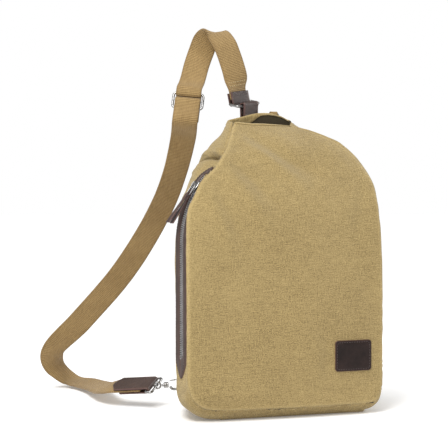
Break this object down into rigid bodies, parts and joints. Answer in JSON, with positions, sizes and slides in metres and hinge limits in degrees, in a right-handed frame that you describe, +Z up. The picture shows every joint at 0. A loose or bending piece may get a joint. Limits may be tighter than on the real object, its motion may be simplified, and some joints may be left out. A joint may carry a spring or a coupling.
{
  "type": "sling bag",
  "caption": "Canvas sling bag with a curved side zip, open arched mouth, leather trim and one webbing shoulder strap clipped low on the back.",
  "frame": {"origin": "centre of the flat bottom, on the surface it stands on", "axes": "+Z up, the front faces -Y, +X to the right seen from the front"},
  "size_m": [0.3415, 0.3165, 0.4394],
  "materials": {
    "canvas": "coarse plain weave canvas",
    "lining": "thin woven lining",
    "foam": "foam padding in cloth",
    "board": "stiff board",
    "metal": "satin nickel",
    "zip_teeth": "silvered teeth",
    "zip_tape": "woven tape",
    "leather": "smooth dark leather",
    "webbing": "ribbed cotton webbing"
  },
  "bodies": {
    "bag": {"front_panel": "canvas", "back_panel": "canvas", "left_gusset": "canvas", "right_gusset": "canvas", "bottom_panel": "canvas", "mouth_facing_front": "lining", "mouth_facing_back": "lining", "inner_pocket": "lining", "back_pad": "foam", "base_board": "board", "magnet_front": "metal", "magnet_back": "metal", "zip_bottom_stop": "metal", "top_ring": "metal", "adjuster_frame": "metal", "adjuster_bar": "metal", "end_ring": "metal", "swivel_eye": "metal", "swivel_post": "metal", "zip_teeth_front": "zip_teeth", "zip_teeth_rear": "zip_teeth", "zip_tape_front": "zip_tape", "zip_tape_rear": "zip_tape", "zip_trim": "leather", "leather_patch": "leather", "anchor_tab": "leather", "strap_wrap": "leather", "end_tab": "leather", "webbing_upper": "webbing", "webbing_lower": "webbing", "ring_anchor_left": "webbing", "ring_anchor_right": "webbing", "eyelet_loop": "webbing"},
    "slider": {"slider_body": "metal", "slider_bridge": "metal"},
    "puller": {"puller_link": "metal", "puller_thong": "leather"},
    "hook": {"hook_barrel": "metal", "hook_body": "metal"},
    "gate": {"hook_gate": "metal"},
    "ring_left": {"d_ring_left": "metal"},
    "ring_right": {"d_ring_right": "metal"},
    "eyelet": {"eyelet_ring": "metal"}
  },
  "joints": [
    {"name": "zip_slide", "type": "hinge", "parent": "bag", "child": "slider", "pos_m": [-0.01289, 0.00511, 0.19], "axis": [0.309, -0.9511, 0], "range_deg": [-6, 36]},
    {"name": "puller_swing", "type": "hinge", "parent": "slider", "child": "puller", "pos_m": [-0.09668, -0.02212, 0.25401], "axis": [0.309, -0.9511, 0], "range_deg": [-150, 0]},
    {"name": "left_ring_swing", "type": "hinge", "parent": "bag", "child": "ring_left", "pos_m": [-0.0754, 0.0551, 0.028], "axis": [1, 0, 0], "range_deg": [-5, 5]},
    {"name": "right_ring_swing", "type": "hinge", "parent": "bag", "child": "ring_right", "pos_m": [0.0764, 0.0551, 0.028], "axis": [1, 0, 0], "range_deg": [0, 150]},
    {"name": "hook_swivel", "type": "hinge", "parent": "bag", "child": "hook", "pos_m": [-0.10461, 0.06591, 0.02522], "axis": [0.9757, -0.2134, 0.0489], "range_deg": [-22, 22]},
    {"name": "gate_hinge", "type": "hinge", "parent": "hook", "child": "gate", "pos_m": [-0.10055, 0.06503, 0.03033], "axis": [0.2137, 0.9769, 0], "range_deg": [0, 35], "stiffness_Nm_per_rad": 0.003},
    {"name": "eyelet_swing", "type": "hinge", "parent": "bag", "child": "eyelet", "pos_m": [0.022, 0.0525, 0.339], "axis": [1, 0, 0], "range_deg": [0, 110]}
  ]
}
